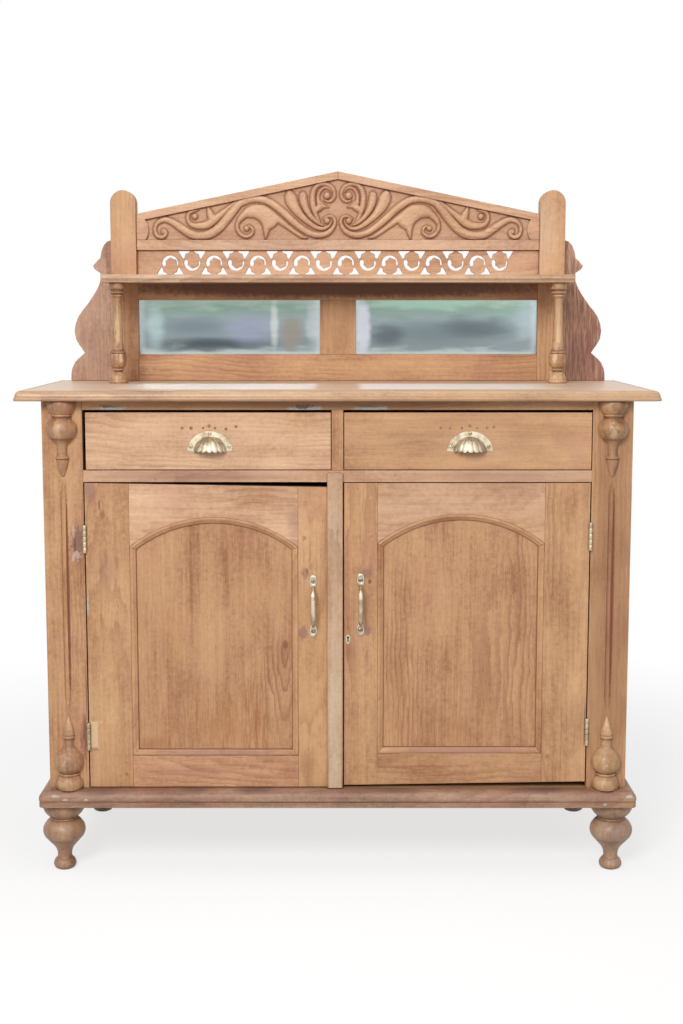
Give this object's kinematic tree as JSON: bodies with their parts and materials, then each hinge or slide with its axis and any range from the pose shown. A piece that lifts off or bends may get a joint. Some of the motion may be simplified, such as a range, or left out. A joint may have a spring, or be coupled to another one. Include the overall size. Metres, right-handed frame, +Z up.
{
  "type": "buffet cabinet",
  "caption": "Free-standing buffet cabinet on turned feet with hinged panel doors, drawers, a mirrored upstand, a shelf on turned columns and a carved crest.",
  "frame": {"origin": "centre of the bounding box's footprint, on the floor", "axes": "+X to the viewer's right along the front, +Y from the front to the back, +Z up"},
  "size_m": [1.3, 0.5, 1.481],
  "materials": {
    "stripped_wood": "stripped and waxed, fine grain",
    "turned_wood": "turned and waxed",
    "plinth_wood": "worn, greyed wax",
    "pale_wood": "pale, unstained",
    "dark_wood": "reddish, darkened",
    "raw_wood": "unfinished",
    "aged_brass": "aged, dull",
    "dark_steel": "tarnished",
    "mirror_glass": "silvered glass"
  },
  "bodies": {
    "cabinet": {"worktop": "stripped_wood", "side_panels": "stripped_wood", "front_uprights": "stripped_wood", "top_rail": "stripped_wood", "drawer_divider": "stripped_wood", "mid_rail": "stripped_wood", "mirror_rails": "stripped_wood", "mirror_uprights": "stripped_wood", "upper_shelf": "stripped_wood", "posts": "stripped_wood", "fret_gallery": "stripped_wood", "crest_board": "stripped_wood", "crest_rails": "stripped_wood", "crest_carving": "stripped_wood", "feet": "turned_wood", "upper_half_balusters": "turned_wood", "lower_half_balusters": "turned_wood", "columns": "turned_wood", "plinth_moulding": "plinth_wood", "wings": "dark_wood", "cupboard_floor": "raw_wood", "base_rails": "raw_wood", "drawer_runners": "raw_wood", "back_boards": "raw_wood", "inner_shelf": "raw_wood", "shelf_battens": "raw_wood", "mirror_backing": "raw_wood", "hinge_fixed_leaves": "aged_brass", "hinge_pins": "dark_steel", "mirrors": "mirror_glass"},
    "left_door": {"left_hinge_stile": "stripped_wood", "left_lock_stile": "stripped_wood", "left_top_rail": "stripped_wood", "left_bottom_rail": "stripped_wood", "left_panel": "stripped_wood", "left_door_pull": "aged_brass", "left_hinge_leaves": "aged_brass", "meeting_strip": "pale_wood", "slide_bolt_case": "dark_steel"},
    "right_door": {"right_hinge_stile": "stripped_wood", "right_lock_stile": "stripped_wood", "right_top_rail": "stripped_wood", "right_bottom_rail": "stripped_wood", "right_panel": "stripped_wood", "right_door_pull": "aged_brass", "right_hinge_leaves": "aged_brass", "escutcheon": "aged_brass", "lock_case": "dark_steel"},
    "lock_bolt": {"lock_bolt": "dark_steel"},
    "slide_bolt": {"slide_bolt": "dark_steel"},
    "left_drawer": {"left_drawer_front": "stripped_wood", "left_drawer_sides": "raw_wood", "left_drawer_back": "raw_wood", "left_drawer_bottom": "raw_wood", "left_cup_pull": "aged_brass"},
    "right_drawer": {"right_drawer_front": "stripped_wood", "right_drawer_sides": "raw_wood", "right_drawer_back": "raw_wood", "right_drawer_bottom": "raw_wood", "right_cup_pull": "aged_brass"}
  },
  "joints": [
    {"name": "left_door_hinge", "type": "hinge", "parent": "cabinet", "child": "left_door", "pos_m": [-0.517, -0.2194, 0.5], "axis": [0, 0, -1], "range_deg": [0, 130]},
    {"name": "right_door_hinge", "type": "hinge", "parent": "cabinet", "child": "right_door", "pos_m": [0.517, -0.2194, 0.5], "axis": [0, 0, 1], "range_deg": [0, 130]},
    {"name": "lock_bolt_slide", "type": "slide", "parent": "right_door", "child": "lock_bolt", "axis": [-1, 0, 0], "range_m": [0, 0.008]},
    {"name": "slide_bolt_slide", "type": "slide", "parent": "left_door", "child": "slide_bolt", "axis": [0, 0, 1], "range_m": [0, 0.018]},
    {"name": "left_drawer_slide", "type": "slide", "parent": "cabinet", "child": "left_drawer", "axis": [0, -1, 0], "range_m": [0, 0.32]},
    {"name": "right_drawer_slide", "type": "slide", "parent": "cabinet", "child": "right_drawer", "axis": [0, -1, 0], "range_m": [0, 0.32]}
  ]
}
